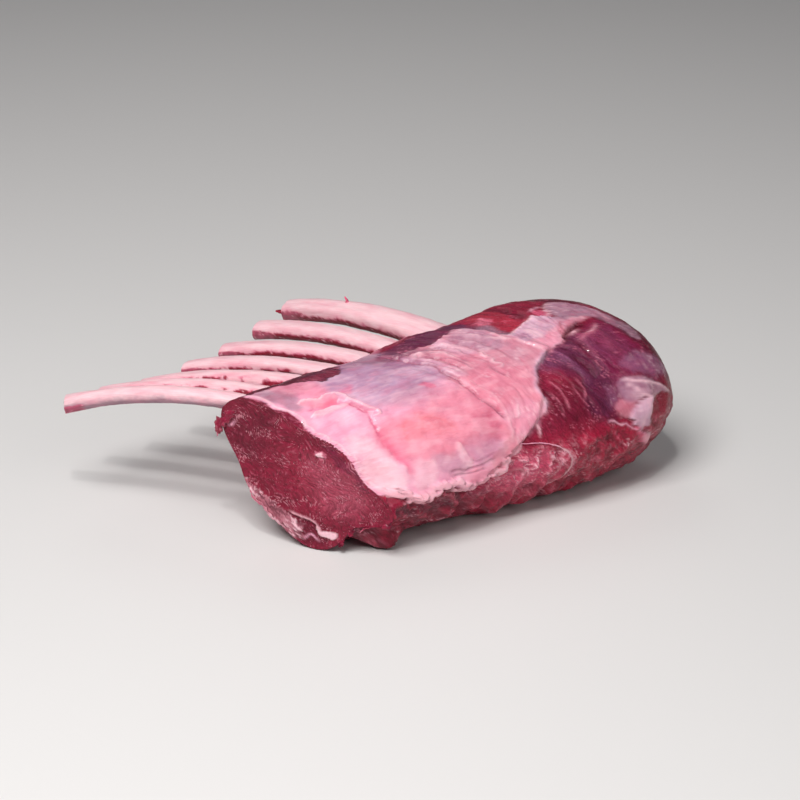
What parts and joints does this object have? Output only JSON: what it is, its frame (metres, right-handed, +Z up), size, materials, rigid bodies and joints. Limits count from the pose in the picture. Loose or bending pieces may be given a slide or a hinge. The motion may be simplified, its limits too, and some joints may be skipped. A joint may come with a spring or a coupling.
{
  "type": "rack of venison",
  "caption": "Raw French trimmed rack of venison: a loin of meat lying outer side up, with clean curved rib bones standing out along one side.",
  "frame": {"origin": "middle of the part's box, at the level it rests on", "axes": "+X along the rack from the cut face to the rounded end, +Y to the side the rib bones leave, +Z up out of the table"},
  "size_m": [0.2807, 0.2072, 0.0909],
  "materials": {
    "meat": "raw dark red meat under pale pink silverskin and fat, moist and softly glossy",
    "bone": "scraped cream bone with a pink tint, sawn ends darker red"
  },
  "bodies": {
    "root": {"loin": "meat", "rib_1": "bone", "rib_2": "bone", "rib_3": "bone", "rib_4": "bone", "rib_5": "bone", "rib_6": "bone", "rib_7": "bone"}
  },
  "joints": []
}
